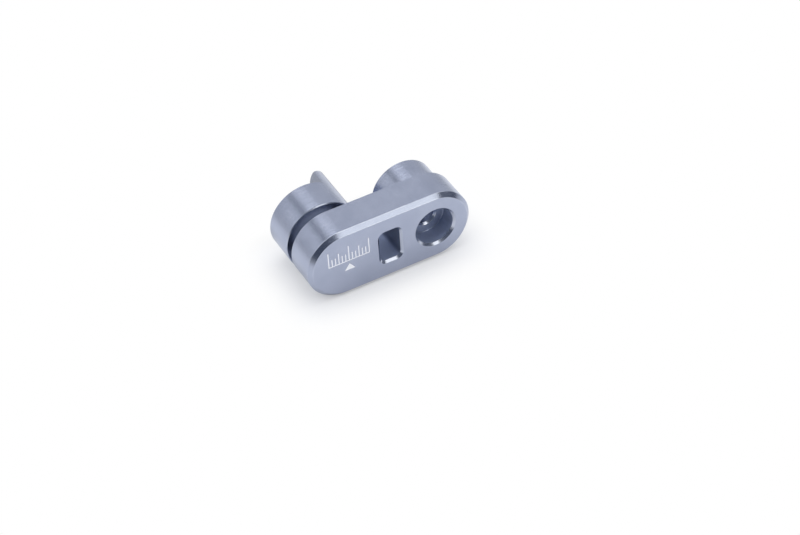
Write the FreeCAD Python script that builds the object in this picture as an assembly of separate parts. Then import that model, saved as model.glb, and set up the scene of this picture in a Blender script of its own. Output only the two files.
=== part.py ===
import FreeCAD, Part
import math
import os

# Servo horn: a one-piece machined arm. A flat plate with round ends carries a splined hub at one end
# and, behind a deep ring groove, a round post with a stop tongue at the other end.
# Frame: origin on the servo shaft's axis, in the plane on which the screw head seats.
# +X runs along the arm from the post to the hub, -Y leaves the front face, +Z is up.
# The arm stands on the long narrow side of its plate. All sizes are in millimetres.

# Plate
arm_length = 15.2
plate_width = 12.0
plate_thickness = 5.8
face_chamfer = 0.63
edge_break = 0.12

# Window through the plate, half way between the two axes
window_width = 3.45
window_height = 5.5
window_corner_radius = 0.9
window_chamfer = 0.35
window_back_chamfer = 0.2

# Post at the arm's end, flush with the plate's round end, behind a ring groove
groove_width = 1.5
neck_diameter = 8.0
post_length = 5.5

# Stop tongue: what a straight cut leaves of the post's end
tongue_length = 5.0
tongue_flat_offset = 3.25
tongue_dome_radius = 7.0
tongue_edge_break = 0.2

# Hub behind the plate
hub_diameter = 10.1
hub_length = 4.9

# Cap screw that holds the horn on the servo shaft: recess for its head, hole for its thread
screw_head_diameter = 5.5
screw_head_height = 3.0
head_side_clearance = 0.35
head_sink = 0.2
screw_diameter = 3.0
screw_side_clearance = 0.05
recess_chamfer = 0.35
screw_hole_chamfer = 0.3

# Splined bore in the hub
spline_teeth = 25
spline_root_diameter = 6.0
spline_tooth_depth = 0.32
spline_root_share = 0.22
spline_crest_share = 0.18
spline_length = 4.5
spline_lead_in = 0.3

# Worked out from the sizes above
end_radius = plate_width / 2
head_recess_radius = screw_head_diameter / 2 + head_side_clearance
head_recess_depth = screw_head_height + head_sink
screw_hole_radius = screw_diameter / 2 + screw_side_clearance
front_y = -head_recess_depth
plate_back_y = front_y + plate_thickness
hub_end_y = plate_back_y + hub_length
spline_start_y = hub_end_y - spline_length
post_start_y = plate_back_y + groove_width
post_end_y = post_start_y + post_length
tongue_end_y = post_end_y + tongue_length
post_x = -arm_length

# Construction: how far a cutting solid stands out of the part, the largest share of a side that
# one rounded corner takes, and the length under which two points count as one
cut_margin = 1.0
largest_corner_share = 0.49
same_point = 1e-6

TO_BACK = FreeCAD.Vector(0, 1, 0)
ALONG_ARM = FreeCAD.Vector(1, 0, 0)


def point(x, y, z):
    return FreeCAD.Vector(x, y, z)


def cylinder(x, y_from, y_to, radius):
    """A round bar along the servo axis's direction."""
    return Part.makeCylinder(radius, y_to - y_from, point(x, y_from, 0), TO_BACK)


def cone(x, y_from, y_to, radius_from, radius_to):
    return Part.makeCone(radius_from, radius_to, y_to - y_from, point(x, y_from, 0), TO_BACK)


def chamfered_bar(x, y_from, y_to, radius, chamfer_from, chamfer_to):
    """A round bar whose two rims are broken."""
    bar = cylinder(x, y_from + chamfer_from, y_to - chamfer_to, radius)
    if chamfer_from > 0:
        bar = bar.fuse(cone(x, y_from, y_from + chamfer_from, radius - chamfer_from, radius))
    if chamfer_to > 0:
        bar = bar.fuse(cone(x, y_to - chamfer_to, y_to, radius, radius - chamfer_to))
    return bar


def rounded_rectangle(x_mid, y, width, height, radius):
    """A closed wire in the plane of the plate's faces, with one arc for each corner."""
    radius = min(radius, largest_corner_share * width, largest_corner_share * height)
    quarter = math.pi / 2
    arc_x = width / 2 - radius
    arc_z = height / 2 - radius
    arc_ends = []
    edges = []
    for number, (side_x, side_z) in enumerate(((1, 1), (-1, 1), (-1, -1), (1, -1))):
        centre_x = x_mid + side_x * arc_x
        centre_z = side_z * arc_z
        start = quarter * number
        first, middle, last = [
            point(centre_x + radius * math.cos(angle), y, centre_z + radius * math.sin(angle))
            for angle in (start, start + quarter / 2, start + quarter)]
        edges.append(Part.Arc(first, middle, last).toShape())
        arc_ends.append((first, last))
    for number, (_, leaving) in enumerate(arc_ends):
        reaching = arc_ends[(number + 1) % len(arc_ends)][0]
        if leaving.distanceToPoint(reaching) > same_point:
            edges.append(Part.LineSegment(leaving, reaching).toShape())
    return Part.Wire(Part.__sortEdges__(edges))


def stadium(y, radius):
    """The plate's outline: two straight sides and two round ends about the two axes."""
    top_left = point(post_x, y, radius)
    left = point(post_x - radius, y, 0)
    bottom_left = point(post_x, y, -radius)
    bottom_right = point(0, y, -radius)
    right = point(radius, y, 0)
    top_right = point(0, y, radius)
    return Part.Wire([
        Part.Arc(top_left, left, bottom_left).toShape(),
        Part.LineSegment(bottom_left, bottom_right).toShape(),
        Part.Arc(bottom_right, right, top_right).toShape(),
        Part.LineSegment(top_right, top_left).toShape(),
    ])


def slab(wire_from, wire_to):
    """A straight-sided solid between two outlines of the same kind."""
    return Part.makeLoft([wire_from, wire_to], True, True)


def plate():
    """The flat plate, with a wide chamfer round its front face and a fine one round its back."""
    front = slab(stadium(front_y, end_radius - face_chamfer), stadium(front_y + face_chamfer, end_radius))
    middle_face = Part.Face(stadium(front_y + face_chamfer, end_radius))
    middle = middle_face.extrude(TO_BACK * (plate_thickness - face_chamfer - edge_break))
    back = slab(stadium(plate_back_y - edge_break, end_radius), stadium(plate_back_y, end_radius - edge_break))
    return front.fuse([middle, back])


def window():
    """The rectangular opening through the plate, as the solid that is cut away."""
    x_mid = -arm_length / 2

    def outline(y, grow):
        return rounded_rectangle(
            x_mid, y, window_width + 2 * grow, window_height + 2 * grow, window_corner_radius + grow)

    through = Part.Face(outline(front_y - cut_margin, 0)).extrude(TO_BACK * (plate_thickness + 2 * cut_margin))
    mouth = slab(outline(front_y, window_chamfer), outline(front_y + window_chamfer, 0))
    back_mouth = slab(outline(plate_back_y - window_back_chamfer, 0), outline(plate_back_y, window_back_chamfer))
    return through.fuse([mouth, back_mouth])


def post():
    """The post and the thinner neck that joins it to the plate."""
    neck = cylinder(post_x, plate_back_y - edge_break, post_start_y + edge_break, neck_diameter / 2)
    body = chamfered_bar(post_x, post_start_y, post_end_y, end_radius, edge_break, edge_break)
    return neck.fuse(body)


def tongue():
    """The stop tongue: a slice of the post's round, its end domed and the dome's inner edge broken."""
    root_y = (post_start_y + post_end_y) / 2
    flat_x = post_x + tongue_flat_offset
    round_bar = cylinder(post_x, root_y, tongue_end_y + cut_margin, end_radius)
    dome_y = tongue_end_y - tongue_dome_radius
    length = end_radius - tongue_flat_offset + cut_margin
    broken = Part.makeCone(
        tongue_dome_radius - tongue_edge_break, tongue_dome_radius, tongue_edge_break,
        point(flat_x, dome_y, 0), ALONG_ARM)
    dome = Part.makeCylinder(
        tongue_dome_radius, length, point(flat_x + tongue_edge_break, dome_y, 0), ALONG_ARM)
    return round_bar.common(broken.fuse(dome))


def hub():
    """The round hub that holds the splined bore."""
    return chamfered_bar(0, plate_back_y - edge_break, hub_end_y, hub_diameter / 2, 0, edge_break)


def head_recess():
    """The recess for the screw's head, with a chamfered mouth."""
    mouth = cone(0, front_y, front_y + recess_chamfer, head_recess_radius + recess_chamfer, head_recess_radius)
    return cylinder(0, front_y - cut_margin, 0, head_recess_radius).fuse(mouth)


def screw_hole():
    """The clearance hole from the screw's seat to the splined bore."""
    mouth = cone(0, 0, screw_hole_chamfer, screw_hole_radius + screw_hole_chamfer, screw_hole_radius)
    return cylinder(0, -cut_margin, spline_start_y + cut_margin, screw_hole_radius).fuse(mouth)


def spline_outline(y):
    """One closed wire: for each tooth a root arc, a flank, a crest arc and the flank back."""
    root_radius = spline_root_diameter / 2
    crest_radius = root_radius - spline_tooth_depth
    pitch = 2 * math.pi / spline_teeth
    root_half = spline_root_share * pitch / 2
    crest_half = spline_crest_share * pitch / 2

    def at(radius, angle):
        return point(radius * math.cos(angle), y, radius * math.sin(angle))

    edges = []
    for tooth in range(spline_teeth):
        root_angle = tooth * pitch
        crest_angle = root_angle + pitch / 2
        next_angle = root_angle + pitch
        root_start = at(root_radius, root_angle - root_half)
        root_end = at(root_radius, root_angle + root_half)
        crest_start = at(crest_radius, crest_angle - crest_half)
        crest_end = at(crest_radius, crest_angle + crest_half)
        next_root = at(root_radius, next_angle - root_half)
        edges.append(Part.Arc(root_start, at(root_radius, root_angle), root_end).toShape())
        edges.append(Part.LineSegment(root_end, crest_start).toShape())
        edges.append(Part.Arc(crest_start, at(crest_radius, crest_angle), crest_end).toShape())
        edges.append(Part.LineSegment(crest_end, next_root).toShape())
    return Part.Wire(edges)


def splined_bore():
    """The toothed bore and its lead-in cone, as the solid that is cut away."""
    teeth = Part.Face(spline_outline(spline_start_y)).extrude(TO_BACK * (spline_length + cut_margin))
    root_radius = spline_root_diameter / 2
    lead_in = cone(0, hub_end_y - spline_lead_in, hub_end_y, root_radius - spline_tooth_depth, root_radius)
    return teeth.fuse(lead_in)


def servo_horn():
    body = plate().fuse([post(), tongue(), hub()])
    body = body.cut([window(), head_recess(), screw_hole(), splined_bore()])
    return body.removeSplitter()


os.makedirs("parts", exist_ok=True)
horn = servo_horn()
print("solids", len(horn.Solids), "valid", horn.isValid(), "volume mm3", round(horn.Volume, 2))
box = horn.BoundBox
print("box", [round(value, 3) for value in (box.XMin, box.YMin, box.ZMin, box.XMax, box.YMax, box.ZMax)])
horn.Solids[0].exportStep("parts/servo_horn.step")
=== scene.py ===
# %% [markdown]
# A servo horn is the small arm that a servo turns. This one is milled and turned from one piece of
# aluminium: a plate with round ends, a toothed hub at one end, and behind a deep ring groove a round
# post with a stop tongue at the other. It was then blasted to a satin skin and anodised pale blue grey.
#
# The shape is finished before Blender starts: the packed model holds it with its chamfers, holes and
# teeth. So this lesson is about looks: a camera, a floor, a soft studio, and one metal finish that
# carries the marks of how the part was made.

# %% The frame
import math

import bpy
from mathutils import Matrix, Vector


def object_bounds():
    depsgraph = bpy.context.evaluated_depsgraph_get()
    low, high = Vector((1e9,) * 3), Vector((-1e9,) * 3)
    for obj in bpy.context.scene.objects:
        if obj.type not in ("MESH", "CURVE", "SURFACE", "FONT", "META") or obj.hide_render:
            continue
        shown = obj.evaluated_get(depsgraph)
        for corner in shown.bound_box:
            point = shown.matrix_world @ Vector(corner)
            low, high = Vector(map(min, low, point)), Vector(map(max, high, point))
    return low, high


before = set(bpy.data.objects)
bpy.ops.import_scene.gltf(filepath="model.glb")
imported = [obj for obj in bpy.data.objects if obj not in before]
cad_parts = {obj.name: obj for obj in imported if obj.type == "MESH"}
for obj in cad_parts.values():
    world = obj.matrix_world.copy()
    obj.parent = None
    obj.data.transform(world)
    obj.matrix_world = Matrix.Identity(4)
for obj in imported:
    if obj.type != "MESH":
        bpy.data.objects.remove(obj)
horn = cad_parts["servo_horn"]
cad_low, cad_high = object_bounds()
MM = 0.001
print("horn, mm:", [round((high - low) / MM, 2) for low, high in zip(cad_low, cad_high)])

# %% [markdown]
# Sizes that the finish needs again. The pattern on the metal follows the part's own features, and
# they are read off the model where the box gives them. The rest are the drawing's sizes in
# millimetres. Typing them twice is a risk, so there are few of them and each has a name.

# %% Sizes of the horn
ARM = 15.2
PLATE_THICKNESS = 5.8
CHAMFER = 0.63
GROOVE_WIDTH = 1.5
MIDDLE = ARM / -2
FRONT = cad_low.y / MM
PLATE_BACK = FRONT + PLATE_THICKNESS
GROOVE_END = PLATE_BACK + GROOVE_WIDTH
END_RADIUS = cad_high.z / MM
HALF_LENGTH = (cad_high.x - cad_low.x) / MM / 2
print("front face at", round(FRONT, 2), "mm, plate's back at", round(PLATE_BACK, 2), "mm")
print("end radius", round(END_RADIUS, 2), "mm, half length", round(HALF_LENGTH, 2), "mm")

# %% [markdown]
# The camera. A camera could be placed by eye, but a part this plain shows every degree of error. So
# its place was worked out from the edges of the plate, the groove, the hole and the post, as a
# surveyor would: a distance of about 40 cm and a long lens. What comes out is a position and two
# axes of the picture, to the right and down. Their cross product is the way it looks.

# %% Camera
PICTURE_WIDTH = 800
FOCAL_PIXELS = 2657.49
camera_place = Vector((-134.4236, -265.6659, 262.9253)) * MM
to_right = Vector((0.8748569, -0.4814177, -0.0535008)).normalized()
to_bottom = Vector((-0.3608910, -0.5741571, -0.7349159))
looking = to_right.cross(to_bottom).normalized()
to_top = to_right.cross(looking)

camera_data = bpy.data.cameras.new("camera")
camera_data.sensor_fit = "HORIZONTAL"
camera_data.sensor_width = 36.0
camera_data.lens = FOCAL_PIXELS / PICTURE_WIDTH * camera_data.sensor_width
camera_data.clip_start = 0.01
camera_data.clip_end = 50.0
camera = bpy.data.objects.new("camera", camera_data)
bpy.context.scene.collection.objects.link(camera)
turned = Matrix((to_right, to_top, -looking)).transposed()
camera.matrix_world = Matrix.Translation(camera_place) @ turned.to_4x4()
bpy.context.scene.camera = camera
bpy.context.scene.view_settings.view_transform = "Standard"
print("lens", round(camera_data.lens, 1), "mm, elevation", round(math.degrees(math.asin(-looking.z)), 1))

# %% [markdown]
# The same small tool serves every material here. Blender's shader sums are nodes, and a sum of ten
# nodes is hard to read. A class that wraps one socket and knows +, - and * lets the sum be written
# as a line of Python, and each operator adds its Math node. Anything that isn't plain arithmetic
# comes from one method that takes the node's kind, its settings and its inputs. Most of what follows
# asks "how much is this point inside that region", so three methods turn a distance into a mask.

# %% Shader sums
class Amount:
    """A socket of a node tree that carries one number per point, and that sums can use."""

    def __init__(self, tree, socket):
        self.tree = tree
        self.socket = socket

    def make(self, kind, settings, inputs, output=0):
        """Adds any node: its settings first, then a value or a link for each input."""
        node = self.tree.nodes.new(kind)
        for name, setting in settings.items():
            setattr(node, name, setting)
        for name, given in inputs.items():
            if isinstance(given, Amount):
                self.tree.links.new(given.socket, node.inputs[name])
            else:
                node.inputs[name].default_value = given
        return Amount(self.tree, node.outputs[output])

    def sum_of(self, operation, first, second=0.0):
        return self.make("ShaderNodeMath", {"operation": operation}, {0: first, 1: second})

    def __add__(self, other):
        return self.sum_of("ADD", self, other)

    def __radd__(self, other):
        return self.sum_of("ADD", other, self)

    def __sub__(self, other):
        return self.sum_of("SUBTRACT", self, other)

    def __rsub__(self, other):
        return self.sum_of("SUBTRACT", other, self)

    def __mul__(self, other):
        return self.sum_of("MULTIPLY", self, other)

    def __rmul__(self, other):
        return self.sum_of("MULTIPLY", other, self)

    def __abs__(self):
        return self.sum_of("ABSOLUTE", self)

    def root(self):
        return self.sum_of("SQRT", self)

    def wave(self):
        return self.sum_of("SINE", self)

    def least(self, other):
        return self.sum_of("MINIMUM", self, other)

    def most(self, other):
        return self.sum_of("MAXIMUM", self, other)

    def fade(self, start, end):
        """0 before start, 1 past end, and a smooth step between them. start may be the larger."""
        inputs = {"Value": self, "From Min": start, "From Max": end, "To Min": 0.0, "To Max": 1.0}
        return self.make("ShaderNodeMapRange", {"interpolation_type": "SMOOTHSTEP"}, inputs)

    def above(self, limit, soft):
        """0 up to limit, then a smooth step to 1 over the width soft."""
        return self.fade(limit, limit + soft)

    def below(self, limit, soft):
        """1 up to limit, then a smooth step to 0 over the width soft."""
        return self.fade(limit + soft, limit)

    def blend(self, colour_a, colour_b):
        """colour_a where this amount is 0, colour_b where it is 1."""
        settings = {"data_type": "RGBA"}
        return self.make("ShaderNodeMix", settings, {0: self, 6: colour_a, 7: colour_b}, output=2)


def new_material(name):
    """An empty material, a start for its sums, and its output node."""
    material = bpy.data.materials.new(name)
    material.use_nodes = True
    material.node_tree.nodes.clear()
    output = material.node_tree.nodes.new("ShaderNodeOutputMaterial")
    return material, Amount(material.node_tree, None), output


print("an Amount has", ", ".join(name for name in vars(Amount) if not name.startswith("_")))

# %% [markdown]
# The floor. The horn stands on the long narrow side of its plate on a white table, a flat disc so
# wide that the camera never sees its rim. Its height comes from the model's box, a hundredth of a
# millimetre lower, so that the two never share a plane.

# %% Floor
FLOOR_RADIUS = 3.0
FLOOR_SIDES = 96
FLOOR_GAP = 0.01
floor_place = (MIDDLE * MM, 0, cad_low.z - FLOOR_GAP * MM)
bpy.ops.object.select_all(action="DESELECT")
bpy.ops.mesh.primitive_circle_add(
    vertices=FLOOR_SIDES, radius=FLOOR_RADIUS, fill_type="NGON", location=floor_place)
floor = bpy.context.object
floor.name = "floor"
print("floor at", round(floor.location.z / MM, 2), "mm")

# %% [markdown]
# The table's paint. A white backdrop could be lit until it burns out, but the metal would burn out
# with it. Here the table is matt white paint that the metal mirrors in its front face. Its colour
# carries painted shade: it gets darker further off, standing for light that falls off away from the
# horn, and it is painted darkest to the front left and behind the post. All distances are in
# millimetres, from the horn's foot or from the point of the table that lies under the arm's middle.

# %% White table, with painted shade
WHITE_PAINT = (0.93, 0.93, 0.93, 1.0)
FAR_PAINTED_SHADE = (0.62, 0.62, 0.62, 1.0)
DEEP_PAINTED_SHADE = (0.36, 0.36, 0.36, 1.0)
STANDING_Y, STANDING_HALF_WIDTH = 3.0, 6.0
ROUND_ENDS_INSET = 1.5
FAR_OFF = (8.0, 90.0)
LEFT_SIDE, FRONT_SIDE = (0.0, -60.0), (20.0, -30.0)
POST_BACK, POST_LEFT, POST_RIGHT = (11.0, 18.0), (-21.0, -13.0), (12.0, 4.0)
POST_SHADE_SHARE = 0.75

paper, sums, output = new_material("white_table")
from_floor_middle = sums.make("ShaderNodeTexCoord", {}, {}, output="Object")
floor_x, floor_y = (
    sums.make("ShaderNodeSeparateXYZ", {}, {0: from_floor_middle}, output=axis) * (1 / MM) for axis in "XY")
beside = (abs(floor_x) - (HALF_LENGTH - ROUND_ENDS_INSET)).most(0.0)
before = (abs(floor_y - STANDING_Y) - STANDING_HALF_WIDTH).most(0.0)
from_horn = (beside * beside + before * before).root()
past_light = from_horn.fade(*FAR_OFF)
front_left_shade = floor_x.fade(*LEFT_SIDE) * floor_y.fade(*FRONT_SIDE)
shade_behind_post = floor_y.fade(*POST_BACK) * floor_x.fade(*POST_LEFT) * floor_x.fade(*POST_RIGHT)
# Painted shade: the table's colour is darker far off, to the front left and behind the post.
far_painted_shade = front_left_shade.blend(FAR_PAINTED_SHADE, DEEP_PAINTED_SHADE)
painted_falloff = past_light.blend(WHITE_PAINT, far_painted_shade)
floor_colour_with_painted_shade = (POST_SHADE_SHARE * shade_behind_post).blend(painted_falloff, DEEP_PAINTED_SHADE)
paint = sums.make("ShaderNodeBsdfPrincipled", {}, {
    "Base Color": floor_colour_with_painted_shade, "Roughness": 1.0, "Specular IOR Level": 0.0})
print("the table darkens from", FAR_OFF[0], "to", FAR_OFF[1], "mm off the horn")

# %% [markdown]
# What the camera sees of the table is mixed with a white glow of strength 1, as in a photo that was
# exposed for a white background. Close to the horn the glow has a small share, so the contact shadow
# stays, and from a few millimetres off the table is plain white.

# %% White for the camera
WHITE = (1.0, 1.0, 1.0, 1.0)
GLOW_AT_HORN = 0.31
WHITE_FROM = 7.5
glow = sums.make("ShaderNodeEmission", {}, {"Color": WHITE, "Strength": 1.0})
seen = sums.make("ShaderNodeLightPath", {}, {}, output="Is Camera Ray")
whiter = seen * (GLOW_AT_HORN + (1.0 - GLOW_AT_HORN) * from_horn.fade(0.0, WHITE_FROM))
burnt_out = sums.make("ShaderNodeMixShader", {}, {0: whiter, 1: paint, 2: glow})
paper.node_tree.links.new(burnt_out.socket, output.inputs["Surface"])
floor.data.materials.append(paper)
print("nodes in the table's paint:", len(paper.node_tree.nodes))

# %% [markdown]
# The world. Metal shows its surroundings, so an even grey world makes it look like plastic, and a
# white one leaves it without any contrast. The camera sees white past the table's edge, and the
# metal sees a dim, slightly blue room. That dim room is what draws the dark arcs in the chamfers.

# %% World
ROOM = (0.090, 0.107, 0.147, 1.0)
world = bpy.data.worlds.new("studio")
bpy.context.scene.world = world
world.use_nodes = True
world.node_tree.nodes.clear()
room = Amount(world.node_tree, None)
seen_by_camera = room.make("ShaderNodeLightPath", {}, {}, output="Is Camera Ray")
dim = room.make("ShaderNodeBackground", {}, {"Color": ROOM, "Strength": 1.0})
white = room.make("ShaderNodeBackground", {}, {"Color": WHITE, "Strength": 1.0})
both = room.make("ShaderNodeMixShader", {}, {0: seen_by_camera, 1: dim, 2: white})
world_output = world.node_tree.nodes.new("ShaderNodeOutputWorld")
world.node_tree.links.new(both.socket, world_output.inputs["Surface"])
print("the metal's room:", ROOM[:3])

# %% [markdown]
# The lamps. Each is a sun lamp with a very wide angle, which acts as a round softbox far away: it
# lights the table evenly and shows in the metal as a soft disc. Where each stands was read off the
# metal. A chamfer that turns round the plate's end mirrors a whole strip of the room, so the point
# at which it changes from bright to dark gives the edge of a softbox. brightness is what the disc
# looks like in a mirror, where 1 is white, and the lamp's strength follows from it and its width.

# %% Lamps
NEUTRAL = (1.0, 1.0, 1.0)
WARM_WHITE = (1.0, 0.985, 0.91)


def softbox(name, round_from_front, height, radius, brightness, colour=NEUTRAL):
    """A wide sun lamp. Angles in degrees: round from the front (-Y) towards +X, and above the floor."""
    data = bpy.data.lights.new(name, "SUN")
    data.color = colour
    data.angle = math.radians(2 * radius)
    data.energy = brightness * math.pi * math.sin(math.radians(radius)) ** 2
    lamp = bpy.data.objects.new(name, data)
    bpy.context.scene.collection.objects.link(lamp)
    around, up = math.radians(round_from_front), math.radians(height)
    towards = Vector((math.sin(around) * math.cos(up), -math.cos(around) * math.cos(up), math.sin(up)))
    lamp.rotation_mode = "QUATERNION"
    lamp.rotation_quaternion = towards.to_track_quat("Z", "Y")
    on_table = data.energy * max(math.sin(up), 0.0) / math.pi
    print(f"{name}: strength {data.energy:.2f}, adds about {on_table:.2f} to a white table")


softbox("key", 28, 42, 13.5, 1.62, WARM_WHITE)
softbox("ceiling", 0, 90, 40, 1.34)
softbox("left_side", -100, 38, 28, 1.10)
softbox("right_side", 95, 38, 28, 1.10)
softbox("back_right", 160, 22, 38, 0.57)
softbox("back_left", 222, 19, 24, 0.57)

# %% [markdown]
# Where things are on the metal. The finish reads Object coordinates, which are metres in the part's
# own frame, and turns them into millimetres. Both round ends lie on a circle about their own axis,
# and the two axes are mirror images about the arm's middle, so one distance serves both of them.

# %% Places on the horn
metal, sums, metal_output = new_material("anodised_aluminium_satin")
coordinates = sums.make("ShaderNodeTexCoord", {}, {}, output="Object")
in_mm = sums.make("ShaderNodeVectorMath", {"operation": "SCALE"}, {0: coordinates, "Scale": 1 / MM})
x, y, z = (sums.make("ShaderNodeSeparateXYZ", {}, {0: in_mm}, output=axis) for axis in "XYZ")

off_middle = abs(x - MIDDLE)
past_axis = off_middle - ARM / 2
from_axis = (past_axis * past_axis + z * z).root()
beyond_axis = past_axis.most(0.0)
from_outline = END_RADIUS - (beyond_axis * beyond_axis + z * z).root()
from_screw = (x * x + z * z).root()
print("the arm's middle is at x =", MIDDLE, "mm")

# %% [markdown]
# Colour. Anodising grows a clear layer and the dye sits in it, so the metal still shines through and
# only its reflections are tinted. The tint varies a little, because the layer grows unevenly: slow
# clouds a few millimetres wide and a fine grain from the blasting. One flat colour would look like
# paint, and strong clouds would look like dirt, so both are kept to a few percent.

# %% Tint
TINT_DEEP = (0.365, 0.400, 0.510, 1.0)
TINT_PALE = (0.435, 0.470, 0.580, 1.0)


def cloud(size_mm, detail, roughness, seed):
    """Noise from 0 to 1 whose features are about size_mm across."""
    place = sums.make("ShaderNodeVectorMath", {"operation": "ADD"}, {0: in_mm, 1: (seed, 2 * seed, -seed)})
    inputs = {"Vector": place, "Scale": 1 / size_mm, "Detail": detail, "Roughness": roughness}
    return sums.make("ShaderNodeTexNoise", {"noise_dimensions": "3D"}, inputs)


slow = cloud(3.5, 3.0, 0.5, 11.0)
grain = cloud(0.16, 2.0, 0.6, 5.0)
tint = (0.65 * slow + 0.35 * grain).fade(0.2, 0.8).blend(TINT_DEEP, TINT_PALE)
print("tint from", TINT_DEEP[:3], "to", TINT_PALE[:3])

# %% [markdown]
# Skin. Blasting with fine glass beads leaves overlapping dents about a tenth of a millimetre wide.
# The dents are a little shallower on the front chamfer, which was cut with a sharper tool. The post
# and the hub were turned, and faint rings are left from the tool. A ring is a wave in the distance
# along the axis on a cylinder, and in the distance from the axis on a flat end. A wave in the sum of
# both is right on either, because the other one stands still there.

# %% Blasting and turning rings
BEAD_DEPTH, CHAMFER_BEADS_LESS = 0.0040, 0.0010
RING_PITCH, RING_DEPTH = 0.17, 0.0009
beads = cloud(0.09, 2.0, 0.55, 3.0)
uneven = cloud(1.2, 2.0, 0.5, 8.0)
front_chamfer = from_outline.below(CHAMFER, 0.03) * y.below(FRONT + CHAMFER, 0.03)
behind_plate = y.above(PLATE_BACK + 0.02, 0.08)
rings = ((y + from_axis) * (2 * math.pi / RING_PITCH) + 1.5 * uneven).wave() * uneven
dents = beads * (BEAD_DEPTH - CHAMFER_BEADS_LESS * front_chamfer)
height = dents + behind_plate * rings * RING_DEPTH
print("bead depth", BEAD_DEPTH, "mm, ring pitch", RING_PITCH, "mm, ring depth", RING_DEPTH, "mm")

# %% [markdown]
# Streaks. A tool that goes round an outline also leaves short irregular streaks along its way, on
# the post, on the hub and on the plate's round ends. They are noise squeezed along the axis and
# drawn out across it. They break up the edges of what the curved sides mirror, which is most of what
# tells a machined side from a moulded one. The long flat sides are smoother and have none.

# %% Tool streaks
STREAK_STRETCH = (0.45, 3.4, 0.45)
STREAK_DEPTH = 0.022
along_tool = sums.make("ShaderNodeVectorMath", {"operation": "MULTIPLY"}, {0: in_mm, 1: STREAK_STRETCH})
streaks = sums.make("ShaderNodeTexNoise", {"noise_dimensions": "3D"}, {
    "Vector": along_tool, "Scale": 1.0, "Detail": 2.0, "Roughness": 0.6})
round_end = beyond_axis.above(0.2, 1.3) * y.above(FRONT + CHAMFER, 0.1)
height = height + behind_plate.most(round_end) * streaks * STREAK_DEPTH
print("streaks are", round(STREAK_STRETCH[1] / STREAK_STRETCH[0], 1), "times as long as wide")

# %% [markdown]
# Inner walls. The blasting beads reach the walls of the window, of the screw's recess and of the
# ring groove only at a slant, so the marks of cutting stay in them and they are duller. Nothing else
# of the part lies inside these outlines, so a distance from the middle of each is enough to find
# their walls. A hundredth of a millimetre of slack keeps each wall wholly inside its own mask.

# %% Inner walls
WINDOW_HALF_WIDTH, WINDOW_HALF_HEIGHT = 1.725, 2.75
RECESS_RADIUS = 3.1
MOUTH = 0.35
SLACK, WALL_SOFT = 0.01, 0.05
in_window = off_middle.below(WINDOW_HALF_WIDTH + SLACK, WALL_SOFT)
in_window = in_window * abs(z).below(WINDOW_HALF_HEIGHT + SLACK, WALL_SOFT)
in_recess = from_screw.below(RECESS_RADIUS + SLACK, WALL_SOFT) * y.below(-0.1, 0.08)
inner_walls = in_window.most(in_recess) * y.above(FRONT + MOUTH, WALL_SOFT)
in_groove = y.above(PLATE_BACK, WALL_SOFT) * y.below(GROOVE_END - WALL_SOFT, WALL_SOFT)
in_groove = in_groove * x.below(MIDDLE - 0.5, 1.0)
duller = inner_walls.most(in_groove)
print("window", 2 * WINDOW_HALF_WIDTH, "by", 2 * WINDOW_HALF_HEIGHT, "mm, recess", 2 * RECESS_RADIUS, "mm")

# %% [markdown]
# Two more places inside, with painted shade and painted light. The window's wall on the hub's side
# is painted darker than its other walls, as painted shade. The floor of the recess, where the
# screw's head sits, is painted paler, close to bare metal, as painted light.

# %% Painted shade on a window wall, painted light on the screw seat
painted_shade_wall = in_window * inner_walls * (x - MIDDLE).above(WINDOW_HALF_WIDTH - 0.5, 0.45)
screw_seat = from_screw.below(RECESS_RADIUS - WALL_SOFT, WALL_SOFT)
screw_seat = screw_seat * y.above(-0.05, 0.04) * y.below(0.03, 0.03)
print("screw seat", 2 * RECESS_RADIUS, "mm across, at y = 0")

# %% [markdown]
# Mouths. The chamfers round the window, the recess and the screw hole were cut last, with a fresh
# edge, and shine more than the rest. Their paler colour is also painted highlight, which makes the
# glints in them brighter. Each is a thin frame: inside the outline that the chamfer has on the face,
# and no deeper than the chamfer goes.

# %% Freshly cut mouths, with painted highlight
SCREW_HOLE_RADIUS = 1.55
HOLE_CHAMFER = 0.3
CUT_SOFT = 0.02
window_mouth = off_middle.below(WINDOW_HALF_WIDTH + MOUTH, CUT_SOFT)
window_mouth = window_mouth * abs(z).below(WINDOW_HALF_HEIGHT + MOUTH, CUT_SOFT)
recess_mouth = from_screw.below(RECESS_RADIUS + MOUTH, CUT_SOFT)
at_front = y.below(FRONT + MOUTH, CUT_SOFT)
face_mouths = window_mouth.most(recess_mouth) * at_front * y.above(FRONT + 0.005, 0.015)
hole_mouth = from_screw.below(SCREW_HOLE_RADIUS + HOLE_CHAMFER, 0.05)
hole_mouth = hole_mouth * y.above(0.0, CUT_SOFT) * y.below(HOLE_CHAMFER, CUT_SOFT)
fresh_cut_and_highlit = face_mouths.most(hole_mouth)
print("screw hole's rim", round(2 * (SCREW_HOLE_RADIUS + HOLE_CHAMFER), 2), "mm across")

# %% [markdown]
# Edges. Where two faces meet, handling rubs the layer thin and the metal is a little paler and
# smoother. The paler lines are also painted highlight: they stand for the light that finely rounded
# edges catch, and the borders of the front chamfer are kept to its upper half, where that light
# falls. A few distances give the edges that stand out: both borders of the front chamfer on the
# upper half, the plate's back rim, and the rims of the ring groove. The rubbing is uneven, so a cloud
# breaks the lines up.

# %% Worn edges and painted edge highlights
BORDER_WIDTH = 0.07
RIM_WIDTH = 0.16


def line(amount, place, width):
    """1 on a line where amount is place, fading to 0 at width to either side."""
    return abs(amount - place).fade(width, width * 0.2)


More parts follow.
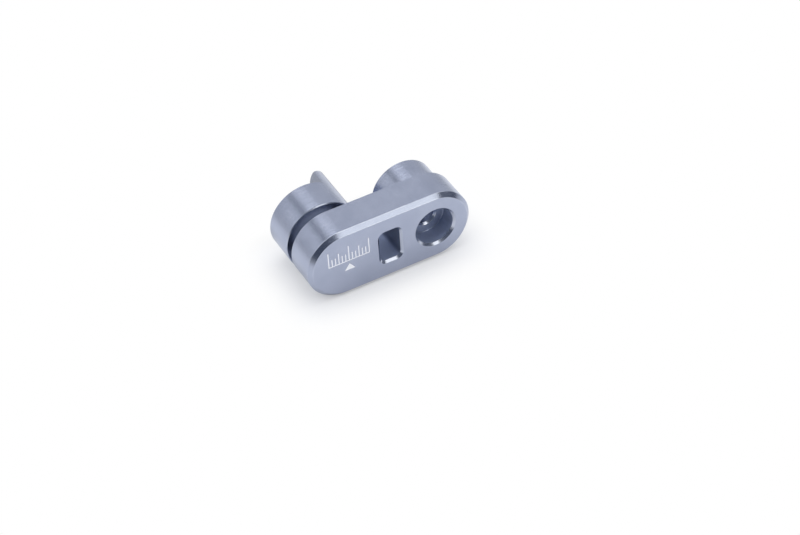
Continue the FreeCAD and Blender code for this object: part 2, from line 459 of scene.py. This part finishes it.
inner_border = line(from_outline, CHAMFER, BORDER_WIDTH)
outer_border = line(y, FRONT + CHAMFER, BORDER_WIDTH) * line(from_outline, 0.0, 0.1)
on_plate_front = y.below(FRONT + 0.65, 0.1)
borders = (inner_border + outer_border) * on_plate_front * z.fade(-4.0, 2.0)
rims = (line(y, PLATE_BACK, RIM_WIDTH) + line(y, GROOVE_END, RIM_WIDTH)) * line(from_outline, 0.0, 0.18)
rubbed_and_highlit = (borders + rims).least(1.0) * uneven.fade(0.25, 0.6)
worn_and_highlit = rubbed_and_highlit.most(0.9 * fresh_cut_and_highlit)
print("worn borders", BORDER_WIDTH, "mm, rims", RIM_WIDTH, "mm to either side")

# %% [markdown]
# Marks on the front. A laser burns the layer away and leaves bright bare metal, a little rougher
# than the rest. The mark here is a plain centring scale: a base line with thirteen strokes, every
# third one longer, and a pointer under the middle stroke. Each line is the place where a distance is
# less than half of its width, so the mark needs no picture and stays sharp at any size.

# %% Etched scale
SCALE_LEFT = -17.9
SCALE_STEP = 0.56
STROKES = 13
SCALE_BASE = 0.55
HALF_LINE = 0.075
LONG, MEDIUM, SHORT = 2.7, 2.0, 1.3
LONG_STROKES = (0, 6, 12)
LASER_SOFT = 0.02
scale_right = SCALE_LEFT + SCALE_STEP * (STROKES - 1)
scale_middle = (SCALE_LEFT + scale_right) / 2


def bar(low_x, high_x, low_z, high_z):
    """1 inside an upright rectangle on the front face, with an edge as soft as a laser's."""
    across = x.fade(low_x - LASER_SOFT, low_x + LASER_SOFT)
    across = across * x.fade(high_x + LASER_SOFT, high_x - LASER_SOFT)
    upright = z.fade(low_z - LASER_SOFT, low_z + LASER_SOFT)
    return across * upright * z.fade(high_z + LASER_SOFT, high_z - LASER_SOFT)


etched = bar(SCALE_LEFT - HALF_LINE, scale_right + HALF_LINE, SCALE_BASE - 2 * HALF_LINE, SCALE_BASE)
for number in range(STROKES):
    place = SCALE_LEFT + SCALE_STEP * number
    tall = LONG if number in LONG_STROKES else (MEDIUM if number % 3 == 0 else SHORT)
    etched = etched.most(bar(place - HALF_LINE, place + HALF_LINE, SCALE_BASE, SCALE_BASE + tall))
print("scale from", SCALE_LEFT, "to", round(scale_right, 2), "mm")

# %% [markdown]
# The pointer is a triangle: all that lies under two slanted lines that meet at its tip, and above its
# base. Last, all of the mark is kept to the front face, because the sums above know only x and z and
# would burn it through to the back.

# %% Pointer
POINTER_TIP, POINTER_BASE, POINTER_SLOPE = -0.15, -1.3, 1.3
under_slants = (z - POINTER_TIP + POINTER_SLOPE * abs(x - scale_middle)).fade(LASER_SOFT, -LASER_SOFT)
pointer = under_slants * z.fade(POINTER_BASE - 0.03, POINTER_BASE + 0.03)
etched = etched.most(pointer) * y.below(FRONT + 0.01, 0.02)
print("pointer", round(POINTER_TIP - POINTER_BASE, 2), "mm high, its tip at x =", round(scale_middle, 2), "mm")

# %% [markdown]
# The colours of the places. The tint is laid down first, and each special place is then mixed over
# it: paler where it is worn and as painted highlight on edges and mouths, a paler neutral in the
# groove as painted light that lifts its shade, paler and bluer on the inner walls as painted bounce
# light, darker on one window wall as painted shade, near bare on the seat as painted light, and bare
# on the etched lines.

# %% Colours, with painted light and shade
BARE_METAL = (0.93, 0.94, 0.97, 1.0)
WORN_AND_HIGHLIGHT_TINT = (0.62, 0.65, 0.74, 1.0)
GROOVE_PAINTED_LIGHT = (0.49, 0.52, 0.585, 1.0)
INNER_PAINTED_BOUNCE = (0.415, 0.472, 0.620, 1.0)
PAINTED_SHADE_TINT = (0.24, 0.275, 0.37, 1.0)
WORN_AND_HIGHLIGHT_SHARE, SEAT_PAINTED_LIGHT_SHARE = 0.6, 0.8
# Wear and painted highlight: edges and freshly cut mouths are mixed paler.
colour = (worn_and_highlit * WORN_AND_HIGHLIGHT_SHARE).blend(tint, WORN_AND_HIGHLIGHT_TINT)
# Painted light: the groove is mixed to a paler, neutral tint that lifts its shade.
colour = in_groove.blend(colour, GROOVE_PAINTED_LIGHT)
# Painted bounce light: the inner walls are mixed to a paler, bluer tint.
colour = inner_walls.blend(colour, INNER_PAINTED_BOUNCE)
# Painted shade: the window's wall on the hub's side is mixed to a darker tint.
colour = painted_shade_wall.blend(colour, PAINTED_SHADE_TINT)
# Painted light: the screw's seat is mixed most of the way to bare metal, so it reads paler.
colour = (SEAT_PAINTED_LIGHT_SHARE * screw_seat).blend(colour, BARE_METAL)
colour = etched.blend(colour, BARE_METAL)
print("the screw's seat is rubbed", SEAT_PAINTED_LIGHT_SHARE, "of the way to bare metal")

# %% [markdown]
# The metal itself. One Principled shader, fully metallic: anodising on aluminium looks like tinted
# metal and not like a varnish over it. Roughness is what sets the satin: at about 0.25 a softbox's
# edge blurs over some ten degrees, as it does on the chamfer. The dull inner walls go to 0.75, where
# nothing is mirrored any more. The skin's height is in millimetres, so the bump's distance is 0.001.

# %% Anodised aluminium
SATIN = 0.20
ETCH_DEPTH = 0.01
roughness = SATIN - 0.02 * front_chamfer + 0.08 * grain + 0.03 * slow
roughness = roughness - 0.03 * worn_and_highlit + 0.12 * etched + 0.50 * duller
skin = sums.make("ShaderNodeBump", {}, {
    "Strength": 1.0, "Distance": MM, "Height": height - etched * ETCH_DEPTH})
metal_shader = sums.make("ShaderNodeBsdfPrincipled", {}, {
    "Base Color": colour, "Metallic": 1.0, "Roughness": roughness, "Normal": skin})
metal.node_tree.links.new(metal_shader.socket, metal_output.inputs["Surface"])
for slot in horn.material_slots:
    slot.material = metal
print("nodes in the finish:", len(metal.node_tree.nodes))

# %% [markdown]
# Looks must not change the part: the finish above changes only its materials.
